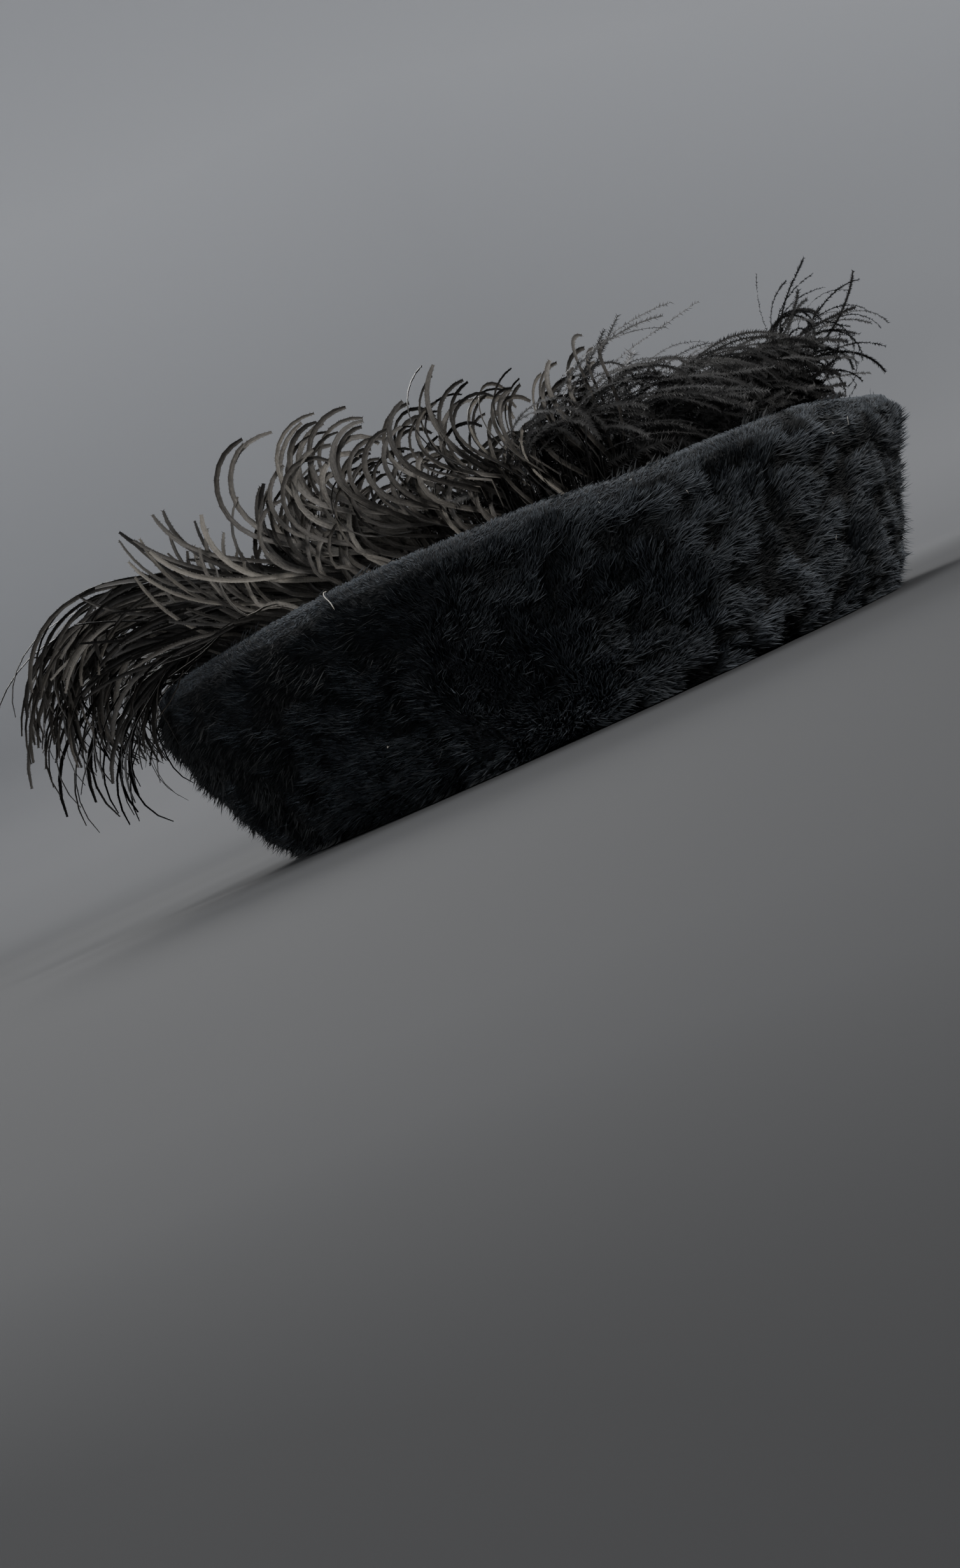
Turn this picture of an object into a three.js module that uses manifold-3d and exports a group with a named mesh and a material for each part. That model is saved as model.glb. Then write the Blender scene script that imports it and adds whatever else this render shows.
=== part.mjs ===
// A black fur-felt Breton hat: a tall brim turned up all round a low domed crown, with ostrich plumes
// laid round the crown so that their curled barbs stand over the edge of the brim.
// Millimetres, +Z up, +X to the front of the hat, -Y to the wearer's right, standing on Z = 0.
import * as THREE from 'three';
import { mergeVertices } from 'three/addons/utils/BufferGeometryUtils.js';
import Module from 'manifold-3d';

const wasm = await Module();
wasm.setup();

// Head opening, a plain oval of 570 mm round
const HEAD_HALF_LENGTH = 100;
const HEAD_HALF_WIDTH = 81.5;

// Walls
const BRIM_WALL = 5.5;
const CROWN_WALL = 3.5;
const SEAM_GAP = 0.3;

// Divisions round the hat, shared by every ring so that neighbouring facets stay parallel
const SEGMENTS = 56;

// Outer face of the brim: how far each height stands out from the head opening
const BRIM_FACE = [
  { height: 0, back: 21, side: 19, front: 24 },
  { height: 3, back: 30, side: 28, front: 31 },
  { height: 11.5, back: 38, side: 36, front: 37 },
  { height: 26.5, back: 47, side: 43, front: 43 },
  { height: 42, back: 54, side: 49, front: 49 },
  { height: 56.5, back: 60, side: 52.5, front: 55 },
  { height: 67, back: 62, side: 54, front: 60 },
  { height: 72, back: 60.5, side: 53, front: 59.5 },
];

// The height that the brim's outer face really ends at, from the front of the hat, at 0 degrees, to its back.
// The upper part of the face is drawn out to it
const BRIM_EDGE = [
  { round: 0, height: 71 },
  { round: 18, height: 71.5 },
  { round: 40, height: 76.8 },
  { round: 66, height: 77.4 },
  { round: 90, height: 82.3 },
  { round: 112, height: 84.3 },
  { round: 150, height: 82 },
  { round: 180, height: 80 },
];

// Outer face of the crown: the share of its full radius at each height
const CROWN_FACE = [
  { height: BRIM_WALL + SEAM_GAP, share: 1 },
  { height: 30, share: 0.992 },
  { height: 52, share: 0.965 },
  { height: 70, share: 0.9 },
  { height: 84, share: 0.79 },
  { height: 95, share: 0.61 },
  { height: 102, share: 0.4 },
  { height: 105.5, share: 0.18 },
];
const CROWN_TOP = 106.5;

// Collar of quills and matted down that carries the barbs: it stands round the foot of the crown and leans
// out towards the edge of the brim. Its middle line, from the lower end up, and its thickness
const COLLAR = [
  { height: 40, reach: 4.2, thick: 4 },
  { height: 50, reach: 4.8, thick: 4.4 },
  { height: 64, reach: 9, thick: 3.6 },
  { height: 78, reach: 17, thick: 3.2 },
  { height: 91, reach: 26, thick: 2.8 },
  { height: 101, reach: 34, thick: 2 },
];

// Each lock of barbs is a flat tapered strip
const LOCK_STEPS = 6;
const LOCK_WIDTH = 21;
const LOCK_THICK = 3;
const LOCK_TIP = 0.25; // tip size as a share of the full size
const CURL_START = 0.35; // the share of a lock's length where its curl starts

// Plumes. "round" is the place round the crown in degrees: 0 front, 90 right side, 180 back, 270 left side.
// A lock leaves the collar at "rise" degrees above level and "sweep" degrees from straight out towards the
// back of the right side, and bends to the end values by its tip, the later the larger "bend" is.
// "turn" rolls its flat side to face outward, and "curl" is what its rise gains besides towards the tip.
const COLUMNS = ['round', 'rise', 'riseEnd', 'bend', 'sweep', 'sweepEnd', 'length', 'turn', 'curl'];
const PLUMES = [
  {
    name: 'plume_front',
    color: 0x161514,
    locks: 18,
    rows: [
      [-48, 42, -10, 0.9, 28, 30, 46, 20, 0],
      [-14, 38, -6, 1, 4, 2, 42, 0, 0],
      [12, 40, -6, 1, -4, -12, 40, -20, 0],
      [32, 50, -10, 0.9, -18, -38, 44, -50, 0],
      [48, 64, -26, 0.7, -36, -62, 54, -64, 0],
      [60, 76, -28, 0.7, -42, -74, 62, -66, 0],
      [73, 92, -24, 0.75, -36, -76, 66, -66, 0],
    ],
  },
  {
    name: 'plume_back',
    color: 0x24211e,
    locks: 29,
    rows: [
      [73.5, 72, 124, 1.1, -10, 30, 64, 50, 70],
      [84, 56, 108, 1.3, 30, 68, 68, 60, 100],
      [94, 38, 74, 1.4, 56, 80, 70, 60, 130],
      [108, 26, 46, 1.5, 58, 70, 76, 50, 130],
      [120, 26, 28, 1.4, 51, 57, 78, 38, 60],
      [132, 32, 4, 1.8, 44, 48, 88, 20, -6],
      [146, 44, -46, 1.8, 36, 38, 112, 8, -20],
      [160, 50, -80, 1.6, 22, 22, 128, 0, -16],
      [186, 48, -80, 1.4, -2, -6, 114, 0, -20],
      [211.5, 44, -70, 1.3, -16, -20, 88, 0, -20],
    ],
  },
  {
    name: 'plume_left',
    color: 0x1d1b19,
    locks: 14,
    rows: [
      [212, 44, -70, 1.3, -16, -20, 88, 0, -20],
      [230, 36, 0, 1.5, -36, -44, 82, -20, 10],
      [250, 26, 40, 1.5, -54, -68, 76, -46, 120],
      [280, 24, 60, 1.5, -60, -84, 66, -58, 145],
      [300, 32, 58, 1.4, -44, -60, 52, -46, 110],
      [311.5, 36, 30, 1.2, -34, -54, 46, -30, 40],
    ],
  },
];
const END_INSET = 5.5; // degrees from the end of a plume's collar to its first lock

// Three layers of locks take turns along a plume. "root" is the share of the collar's line at which a
// lock starts
const LAYERS = [
  { root: 0.5, riseMore: -4, lengthShare: 1.06, sweepMore: -4 },
  { root: 0.86, riseMore: 5, lengthShare: 0.84, sweepMore: 4 },
  { root: 0.7, riseMore: 2, lengthShare: 0.95, sweepMore: 0 },
];

const radians = THREE.MathUtils.degToRad;

// The point of the head opening at an angle counted from the front, and the outward direction there
function openingAt(angle) {
  const point = new THREE.Vector3(
    HEAD_HALF_LENGTH * Math.cos(angle),
    HEAD_HALF_WIDTH * Math.sin(angle),
    0,
  );
  const out = new THREE.Vector3(
    Math.cos(angle) / HEAD_HALF_LENGTH,
    Math.sin(angle) / HEAD_HALF_WIDTH,
    0,
  ).normalize();
  return { point, out };
}

// Moves each point of an open [reach, height] line by a distance to its left-hand side
function besideLine(line, distance) {
  return line.map(([reach, height], i) => {
    const before = line[Math.max(i - 1, 0)];
    const after = line[Math.min(i + 1, line.length - 1)];
    const along = new THREE.Vector2(after[0] - before[0], after[1] - before[1]).normalize();
    return [reach - along.y * distance, height + along.x * distance];
  });
}

// Closes the end of a folded strip whose ring runs up one side and down the other
function capStrip(index, start, count, flip) {
  for (let i = 0; i < count / 2 - 1; i += 1) {
    const a = start + i;
    const b = start + i + 1;
    const c = start + count - 2 - i;
    const d = start + count - 1 - i;
    if (flip) index.push(a, c, b, a, d, c);
    else index.push(a, b, c, a, c, d);
  }
}

// One closed mesh from rings of points. A ring of one point is a pole. "ends" is "loop" where the last ring
// joins the first, "strip" for the ends of a folded strip, or "poles"
function skin(rings, ends) {
  const positions = [];
  const starts = rings.map((ring) => {
    const start = positions.length / 3;
    ring.forEach((p) => positions.push(p.x, p.y, p.z));
    return start;
  });
  const index = [];
  const pairs = ends === 'loop' ? rings.length : rings.length - 1;
  for (let j = 0; j < pairs; j += 1) {
    const k = (j + 1) % rings.length;
    const count = Math.max(rings[j].length, rings[k].length);
    for (let i = 0; i < count; i += 1) {
      const next = (i + 1) % count;
      const a = starts[j] + (rings[j].length > 1 ? i : 0);
      const b = starts[j] + (rings[j].length > 1 ? next : 0);
      const c = starts[k] + (rings[k].length > 1 ? next : 0);
      const d = starts[k] + (rings[k].length > 1 ? i : 0);
      if (a !== b) index.push(a, b, c);
      if (c !== d) index.push(a, c, d);
    }
  }
  if (ends === 'strip') {
    const last = rings.length - 1;
    capStrip(index, starts[0], rings[0].length, true);
    capStrip(index, starts[last], rings[last].length, false);
  }
  const geometry = new THREE.BufferGeometry();
  geometry.setAttribute('position', new THREE.Float32BufferAttribute(positions, 3));
  geometry.setIndex(index);
  return geometry;
}

const ringAngles = Array.from({ length: SEGMENTS }, (_, i) => (i * 2 * Math.PI) / SEGMENTS);

// The height of the brim's edge at one angle, the same on both sides of the hat
function edgeHeight(angle) {
  const round = THREE.MathUtils.radToDeg(Math.acos(Math.cos(angle)));
  const next = Math.max(BRIM_EDGE.findIndex((row) => row.round >= round), 1);
  const [from, to] = [BRIM_EDGE[next - 1], BRIM_EDGE[next]];
  const share = THREE.MathUtils.smoothstep(round, from.round, to.round);
  return THREE.MathUtils.lerp(from.height, to.height, share);
}

// The brim's section at one angle: a closed line of [reach, height] from the opening round the outside
function brimSection(angle) {
  const end = Math.cos(angle) > 0 ? 'front' : 'back';
  const endShare = Math.cos(angle) ** 2;
  const top = BRIM_FACE[BRIM_FACE.length - 1].height;
  const lift = edgeHeight(angle) - top;
  const outer = BRIM_FACE.map((row) => [
    row[end] * endShare + row.side * (1 - endShare),
    row.height + lift * (row.height / top) ** 3,
  ]);
  const inner = besideLine(outer, BRIM_WALL).slice(1);
  const [outReach, outHeight] = outer[outer.length - 1];
  const [inReach, inHeight] = inner[inner.length - 1];
  const crest = [(outReach + inReach) / 2 - 0.4, (outHeight + inHeight) / 2 + BRIM_WALL * 0.45];
  return [[0, 0], ...outer, crest, ...inner.reverse(), [CROWN_WALL + 1, BRIM_WALL], [0, BRIM_WALL]];
}

function makeBrim() {
  const sections = ringAngles.map(brimSection);
  const rings = sections[0].map((_, j) =>
    ringAngles.map((angle, i) => {
      const { point, out } = openingAt(angle);
      const [reach, height] = sections[i][j];
      return point.clone().addScaledVector(out, reach).setZ(height);
    }),
  );
  return skin(rings, 'loop');
}

// The crown's radius at an angle, from its centre
function crownRadius(angle) {
  return Math.hypot(
    (HEAD_HALF_LENGTH + CROWN_WALL) * Math.cos(angle),
    (HEAD_HALF_WIDTH + CROWN_WALL) * Math.sin(angle),
  );
}

function crownPoint(angle, reach, height) {
  const ratio = reach / crownRadius(angle);
  return new THREE.Vector3(
    (HEAD_HALF_LENGTH + CROWN_WALL) * Math.cos(angle) * ratio,
    (HEAD_HALF_WIDTH + CROWN_WALL) * Math.sin(angle) * ratio,
    height,
  );
}

function makeCrown() {
  const outerLines = ringAngles.map((angle) =>
    CROWN_FACE.map((row) => [crownRadius(angle) * row.share, row.height]),
  );
  const innerLines = outerLines.map((line) => besideLine(line, CROWN_WALL));
  innerLines.forEach((line) => {
    line[0][1] = CROWN_FACE[0].height;
  });
  const ringOf = (lines, j) =>
    ringAngles.map((angle, i) => crownPoint(angle, lines[i][j][0], lines[i][j][1]));
  const rows = CROWN_FACE.map((_, j) => j);
  return skin(
    [
      [new THREE.Vector3(0, 0, CROWN_TOP - CROWN_WALL)],
      ...[...rows].reverse().map((j) => ringOf(innerLines, j)),
      ...rows.map((j) => ringOf(outerLines, j)),
      [new THREE.Vector3(0, 0, CROWN_TOP)],
    ],
    'poles',
  );
}

// A stretch of the collar between two places round the crown
function makeCollar(from, to) {
  const line = COLLAR.map((row) => [row.reach, row.height]);
  const sides = [-0.5, 0.5].map((share) =>
    line.map((_, i) => besideLine(line, share * COLLAR[i].thick)[i]),
  );
  const section = [...sides[0], ...sides[1].reverse()];
  const step = 360 / SEGMENTS;
  const places = [from];
  for (let i = Math.floor(from / step) + 1; i * step < to; i += 1) places.push(i * step);
  places.push(to);
  const rings = places.map((round) => {
    const { point, out } = openingAt(radians(-round));
    return section.map(([reach, height]) => point.clone().addScaledVector(out, reach).setZ(height));
  });
  return skin(rings, 'strip');
}

// The values of a plume's table, by the names of its columns, at a place between two of its rows
function plumeValues(rows, round) {
  const next = Math.max(rows.findIndex((row) => row[0] >= round), 1);
  const [from, to] = [rows[next - 1], rows[next]];
  const t = (round - from[0]) / (to[0] - from[0]);
  return Object.fromEntries(COLUMNS.map((name, k) => [name, THREE.MathUtils.lerp(from[k], to[k], t)]));
}

// The middle line of a lock, walked in equal steps while its direction bends from root to tip
function lockLine(values, layer) {
  const { point, out } = openingAt(radians(-values.round));
  const back = new THREE.Vector3(out.y, -out.x, 0);
  const place = layer.root * (COLLAR.length - 1);
  const row = Math.floor(place);
  const reach = THREE.MathUtils.lerp(COLLAR[row].reach, COLLAR[row + 1].reach, place - row);
  const height = THREE.MathUtils.lerp(COLLAR[row].height, COLLAR[row + 1].height, place - row);
  const step = (values.length * layer.lengthShare) / LOCK_STEPS;
  const line = [point.addScaledVector(out, reach).setZ(height)];
  for (let i = 0; i < LOCK_STEPS; i += 1) {
    const t = (i + 0.5) / LOCK_STEPS;
    const bent = THREE.MathUtils.lerp(values.rise + layer.riseMore, values.riseEnd, t ** values.bend);
    const curled = values.curl * (Math.max(t - CURL_START, 0) / (1 - CURL_START)) ** 1.25;
    const rise = radians(bent + curled);
    const sweep = radians(
      THREE.MathUtils.lerp(values.sweep + layer.sweepMore, values.sweepEnd, t),
    );
    const heading = out
      .clone()
      .multiplyScalar(Math.cos(sweep) * Math.cos(rise))
      .addScaledVector(back, Math.sin(sweep) * Math.cos(rise))
      .add(new THREE.Vector3(0, 0, Math.sin(rise)));
    line.push(line[i].clone().addScaledVector(heading, step));
  }
  return line;
}

// A lock's size along its length: narrow at the root, full at a third, pointed at the tip
function lockSize(t) {
  return t < 0.4
    ? THREE.MathUtils.lerp(0.6, 1, t / 0.4)
    : THREE.MathUtils.lerp(1, LOCK_TIP, ((t - 0.4) / 0.6) ** 1.8);
}

function makeLock(values, layer) {
  const line = lockLine(values, layer);
  const along = line.map((_, i) =>
    line[Math.min(i + 1, LOCK_STEPS)].clone().sub(line[Math.max(i - 1, 0)]).normalize(),
  );
  const side = new THREE.Vector3(0, 0, 1).cross(along[0]).normalize();
  side.applyAxisAngle(along[0], radians(values.turn));
  const rings = line.map((p, i) => {
    side.addScaledVector(along[i], -side.dot(along[i])).normalize();
    const face = along[i].clone().cross(side);
    const size = lockSize(i / LOCK_STEPS);
    const half = (LOCK_WIDTH / 2) * size;
    const deep = (LOCK_THICK / 2) * Math.max(size, 0.45);
    return [
      p.clone().addScaledVector(side, half),
      p.clone().addScaledVector(face, deep),
      p.clone().addScaledVector(side, -half),
      p.clone().addScaledVector(face, -deep),
    ];
  });
  const root = line[0].clone().addScaledVector(along[0], -1);
  const tip = line[LOCK_STEPS].clone().addScaledVector(along[LOCK_STEPS], 2);
  return skin([[root], ...rings, [tip]], 'poles');
}

function toManifold(geometry) {
  const bare = new THREE.BufferGeometry();
  bare.setAttribute('position', geometry.getAttribute('position').clone());
  bare.setIndex(geometry.getIndex());
  const merged = mergeVertices(bare, 1e-4);
  const solid = new wasm.Manifold(
    new wasm.Mesh({
      numProp: 3,
      vertProperties: new Float32Array(merged.getAttribute('position').array),
      triVerts: new Uint32Array(merged.getIndex().array),
    }),
  );
  if (solid.volume() < 0) throw new Error('a piece is inside out');
  return solid;
}

function fromManifold(solid) {
  const mesh = solid.getMesh();
  const geometry = new THREE.BufferGeometry();
  geometry.setAttribute('position', new THREE.BufferAttribute(mesh.vertProperties, 3));
  geometry.setIndex(new THREE.BufferAttribute(mesh.triVerts, 1));
  return geometry;
}

// A plume: its stretch of the collar with all its locks joined on
function makePlume(plume) {
  const first = plume.rows[0][0];
  const last = plume.rows[plume.rows.length - 1][0];
  let solid = toManifold(makeCollar(first, last));
  for (let i = 0; i < plume.locks; i += 1) {
    const share = i / (plume.locks - 1);
    const round = THREE.MathUtils.lerp(first + END_INSET, last - END_INSET, share);
    const values = plumeValues(plume.rows, round);
    solid = solid.add(toManifold(makeLock(values, LAYERS[i % LAYERS.length])));
  }
  const bodies = solid.decompose().sort((a, b) => b.volume() - a.volume());
  return fromManifold(bodies[0]);
}

function felt(color, roughness) {
  return new THREE.MeshStandardMaterial({ color, roughness, metalness: 0 });
}

const hat = new THREE.Group();
function place(name, geometry, material) {
  const mesh = new THREE.Mesh(geometry, material);
  mesh.name = name;
  hat.add(mesh);
}

place('brim', makeBrim(), felt(0x111317, 0.95));
place('crown', makeCrown(), felt(0x0e0f12, 0.95));
PLUMES.forEach((plume) => place(plume.name, makePlume(plume), felt(plume.color, 0.6)));

// The origin is the middle of the hat's footprint box, on the surface it stands on
const box = new THREE.Box3().setFromObject(hat);
const centre = box.getCenter(new THREE.Vector3());
hat.position.set(-centre.x, -centre.y, 0);

export default hat;
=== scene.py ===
import math

import bpy
import numpy as np
from mathutils import Matrix, Vector, noise
from mathutils.kdtree import KDTree


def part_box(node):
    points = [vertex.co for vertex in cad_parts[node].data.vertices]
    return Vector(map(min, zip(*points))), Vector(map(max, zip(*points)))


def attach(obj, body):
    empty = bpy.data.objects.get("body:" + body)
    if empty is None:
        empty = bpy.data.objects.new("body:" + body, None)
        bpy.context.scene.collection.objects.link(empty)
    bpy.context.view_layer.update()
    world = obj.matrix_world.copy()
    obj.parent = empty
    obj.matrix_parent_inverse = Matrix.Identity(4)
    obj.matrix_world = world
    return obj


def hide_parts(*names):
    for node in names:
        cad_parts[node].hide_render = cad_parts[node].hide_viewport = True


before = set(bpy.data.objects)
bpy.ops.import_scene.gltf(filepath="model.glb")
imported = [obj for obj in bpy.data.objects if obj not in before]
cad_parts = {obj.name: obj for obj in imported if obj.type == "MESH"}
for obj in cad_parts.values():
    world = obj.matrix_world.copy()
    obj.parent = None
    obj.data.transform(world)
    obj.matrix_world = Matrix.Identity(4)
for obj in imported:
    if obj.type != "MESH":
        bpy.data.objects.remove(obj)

# A black long-napped Breton hat with ostrich plumes. Metres, +Z up, +X to the front of the hat,
# -Y to the wearer's right. The floor is at Z = 0.
MM = 0.001
rng = np.random.default_rng(1909)

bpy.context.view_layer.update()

# The head opening, an oval round its own centre
crown_low, crown_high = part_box("crown")
CENTRE = np.array([(crown_low[0] + crown_high[0]) / 2, (crown_low[1] + crown_high[1]) / 2, 0.0])
CROWN_WALL = 3.5 * MM
HEAD_HALF_LENGTH = (crown_high[0] - crown_low[0]) / 2 - CROWN_WALL
HEAD_HALF_WIDTH = (crown_high[1] - crown_low[1]) / 2 - CROWN_WALL


# Meshes and materials


def make_mesh(name, points, faces, sizes=None, **layers):
    """A mesh object from arrays. faces holds one row of corners for each face, or with sizes one flat list.
    layers are named point values that the material reads."""
    mesh = bpy.data.meshes.new(name)
    faces = np.asarray(faces)
    if sizes is None:
        sizes = np.full(len(faces), faces.shape[1])
    starts = np.concatenate([[0], np.cumsum(sizes)[:-1]])
    mesh.vertices.add(len(points))
    mesh.vertices.foreach_set("co", np.asarray(points, dtype=np.float32).ravel())
    mesh.loops.add(int(sizes.sum()))
    mesh.loops.foreach_set("vertex_index", faces.ravel().astype(np.int32))
    mesh.polygons.add(len(sizes))
    mesh.polygons.foreach_set("loop_start", starts.astype(np.int32))
    mesh.polygons.foreach_set("use_smooth", np.ones(len(sizes), dtype=bool))
    mesh.update(calc_edges=True)
    for layer, values in layers.items():
        values = np.asarray(values, dtype=np.float32)
        if values.ndim == 1:
            data = mesh.attributes.new(layer, "FLOAT", "POINT").data
            data.foreach_set("value", values)
        else:
            data = mesh.attributes.new(layer, "FLOAT_VECTOR", "POINT").data
            data.foreach_set("vector", values.ravel())
    piece = bpy.data.objects.new(name, mesh)
    bpy.context.scene.collection.objects.link(piece)
    return piece


def join_parts(parts):
    """Points, faces and layers of several pieces of the same make, as one set."""
    offset = 0
    points, faces = [], []
    layers = {key: [] for key in parts[0][2]}
    for part_points, part_faces, part_layers in parts:
        points.append(part_points)
        faces.append(part_faces + offset)
        offset += len(part_points)
        for key, values in part_layers.items():
            layers[key].append(values)
    return np.concatenate(points), np.concatenate(faces), {k: np.concatenate(v) for k, v in layers.items()}


class Shader:
    """A small helper to write a material's nodes one line each."""

    def __init__(self, name):
        self.material = bpy.data.materials.new(name)
        self.material.use_nodes = True
        self.tree = self.material.node_tree
        self.surface = self.tree.nodes["Principled BSDF"]

    def node(self, kind, inputs=None, **settings):
        made = self.tree.nodes.new(kind)
        for key, value in settings.items():
            setattr(made, key, value)
        for key, value in (inputs or {}).items():
            if isinstance(value, bpy.types.NodeSocket):
                self.tree.links.new(value, made.inputs[key])
            else:
                made.inputs[key].default_value = value
        return made

    def point_value(self, name, output="Fac"):
        return self.node("ShaderNodeAttribute", attribute_name=name).outputs[output]

    def noise(self, vector, scale, detail=4.0, roughness=0.55):
        inputs = {"Vector": vector, "Scale": scale, "Detail": detail, "Roughness": roughness}
        return self.node("ShaderNodeTexNoise", inputs).outputs["Fac"]

    def ramp(self, factor, stops):
        made = self.node("ShaderNodeValToRGB", {"Fac": factor})
        ramp = made.color_ramp
        ramp.elements[0].position, ramp.elements[-1].position = stops[0][0], stops[-1][0]
        for place, _ in stops[1:-1]:
            ramp.elements.new(place)
        for element, (_, color) in zip(ramp.elements, stops):
            element.color = (*color, 1.0)
        return made.outputs["Color"]

    def sum(self, a, b, factor=1.0):
        """a + b * factor"""
        inputs = {0: b, 1: factor, 2: a}
        return self.node("ShaderNodeMath", inputs, operation="MULTIPLY_ADD").outputs[0]

    def times(self, a, b):
        return self.node("ShaderNodeMath", {0: a, 1: b}, operation="MULTIPLY").outputs[0]

    def positive(self, value):
        return self.node("ShaderNodeMath", {0: value, 1: 0.0}, operation="MAXIMUM").outputs[0]

    def stretch(self, vector, scale):
        return self.node("ShaderNodeMapping", {"Vector": vector, "Scale": scale}).outputs["Vector"]

    def bump(self, height, distance, strength=1.0):
        inputs = {"Height": height, "Distance": distance, "Strength": strength}
        self.set("Normal", self.node("ShaderNodeBump", inputs).outputs["Normal"])

    def set(self, socket, value):
        if isinstance(value, bpy.types.NodeSocket):
            self.tree.links.new(value, self.surface.inputs[socket])
        else:
            self.surface.inputs[socket].default_value = value


def object_place(shader):
    return shader.node("ShaderNodeTexCoord").outputs["Object"]


def felt_material(name, dark, light, grain):
    """The felt wall under the nap: dark, matted, with a fine fibrous grain."""
    shader = Shader(name)
    place = object_place(shader)
    patches = shader.noise(place, 70.0)
    fibres = shader.noise(shader.stretch(place, (1.0, 1.0, 0.3)), 1400.0, 3.0)
    shader.set("Base Color", shader.ramp(shader.sum(patches, fibres, 0.35), [(0.35, dark), (0.95, light)]))
    shader.set("Roughness", shader.ramp(fibres, [(0.2, (0.75,) * 3), (0.8, (0.95,) * 3)]))
    shader.set("Sheen Weight", 0.25)
    shader.set("Sheen Roughness", 0.5)
    shader.set("Specular IOR Level", 0.25)
    shader.bump(shader.sum(fibres, patches, 2.0), grain)
    return shader.material


# The nap's colour by tone. The tone carries painted shade at the hairs' feet, in the hollows and towards the
# back, and painted light towards the front.
NAP_STOPS = [
    (0.0, (0.0030, 0.0031, 0.0031)),
    (0.35, (0.0092, 0.0098, 0.0100)),
    (0.7, (0.032, 0.0352, 0.0392)),
    (1.0, (0.080, 0.0885, 0.1010)),
]


def nap_material(name):
    """Single hairs of the nap. The point value "tone" runs from the dark foot, a painted shade among the
    hairs, to the lit tip.
    """
    shader = Shader(name)
    place = object_place(shader)
    fleck = shader.noise(place, 420.0, 2.0)
    tone = shader.sum(shader.point_value("tone"), shader.sum(fleck, -0.5), 0.35)
    shader.set("Base Color", shader.ramp(tone, NAP_STOPS))
    shader.set("Roughness", shader.ramp(fleck, [(0.2, (0.55,) * 3), (0.8, (0.8,) * 3)]))
    shader.set("Specular IOR Level", 0.24)
    shader.set("Sheen Weight", 0.1)
    shader.set("Sheen Roughness", 0.5)
    shader.set("Sheen Tint", (0.75, 0.86, 1.0, 1.0))
    shader.bump(shader.noise(place, 2500.0, 2.0), 0.02 * MM)
    return shader.material


SMOOTH_STOPS = [
    (0.0, (0.004, 0.0036, 0.0032)),
    (0.35, (0.019, 0.0172, 0.0153)),
    (0.7, (0.064, 0.059, 0.052)),
    (1.0, (0.15, 0.139, 0.121)),
]
MATTED_STOPS = [
    (0.0, (0.0022, 0.002, 0.0018)),
    (0.4, (0.0078, 0.0072, 0.0065)),
    (0.75, (0.025, 0.0231, 0.0208)),
    (1.0, (0.07, 0.0655, 0.059)),
]


def barb_material(name, stops):
    """Ostrich barbs. "tone" is the barb's own shade, and "strand" its place across and along it."""
    shader = Shader(name)
    strand = shader.point_value("strand", "Vector")
    streaks = shader.noise(shader.stretch(strand, (5.0, 0.12, 1.0)), 1.0, 3.0)
    flecks = shader.noise(shader.stretch(strand, (1.5, 0.9, 1.0)), 1.0, 2.0)
    mottle = shader.sum(shader.sum(streaks, flecks, 0.6), -0.8)
    tone = shader.sum(shader.point_value("tone"), mottle, 0.9)
    shader.set("Base Color", shader.ramp(tone, stops))
    shader.set("Roughness", shader.ramp(streaks, [(0.25, (0.45,) * 3), (0.75, (0.68,) * 3)]))
    shader.set("Specular IOR Level", 0.28)
    shader.set("Sheen Weight", 0.05)
    shader.set("Sheen Roughness", 0.5)
    shader.bump(streaks, 0.12 * MM)
    return shader.material


# The camera, at the photograph's side of the hat, rolled as the hat was tilted, just above the floor

FRAME_PX = (1508, 2464)
FOCAL_PX = 3696
SENSOR = 36.0
CAMERA_DISTANCE = 969 * MM
CAMERA_AZIMUTH = 5.27
CAMERA_ELEVATION = 1.6
CAMERA_ROLL = 24.47
HAT_MIDDLE = CENTRE + np.array([0.0, 0.0, 42 * MM])
MIDDLE_PX = (872, 990)


def place_camera():
    az, el, roll = (math.radians(v) for v in (CAMERA_AZIMUTH, CAMERA_ELEVATION, CAMERA_ROLL))
    back = Vector((math.sin(az) * math.cos(el), -math.cos(az) * math.cos(el), math.sin(el)))
    level = Vector((math.cos(az), math.sin(az), 0.0))
    upright = back.cross(level)
    right = math.cos(roll) * level - math.sin(roll) * upright
    up = math.sin(roll) * level + math.cos(roll) * upright
    across = (MIDDLE_PX[0] - FRAME_PX[0] / 2) * CAMERA_DISTANCE / FOCAL_PX
    above = -(MIDDLE_PX[1] - FRAME_PX[1] / 2) * CAMERA_DISTANCE / FOCAL_PX
    spot = Vector(HAT_MIDDLE) + back * CAMERA_DISTANCE - right * across - up * above
    data = bpy.data.cameras.new("camera")
    data.sensor_width = SENSOR
    data.lens = FOCAL_PX / FRAME_PX[1] * SENSOR
    data.clip_start, data.clip_end = 0.01, 50.0
    camera = bpy.data.objects.new("camera", data)
    turn = Matrix((right, up, back)).transposed().to_4x4()
    camera.matrix_world = Matrix.Translation(spot) @ turn
    bpy.context.scene.collection.objects.link(camera)
    bpy.context.scene.camera = camera


# Studio: a grey floor that curves up into a paler wall all round, the paleness painted light that grows with
# height, and soft lights

FLOOR_RADIUS = 1.15
COVE_RADIUS = 1.9
WALL_HEIGHT = 3.6
FLOOR_SIDES = 96
COVE_STEPS = 16
# How much the backdrop's shade grows with height, with distance and towards the corner behind the hat's
# front, which is painted light, and with its random cloudiness
HEIGHT_PAINTED_LIGHT = 0.8
DEPTH_PAINTED_LIGHT = 0.016
CORNER_PAINTED_LIGHT = 0.1
CLOUD_LIFT = 0.02
# The backdrop's tone by that shade
BACKDROP_STOPS = [(0.016, 0.042), (0.04, 0.09), (0.17, 0.21), (0.41, 0.35), (0.87, 0.56)]
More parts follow.
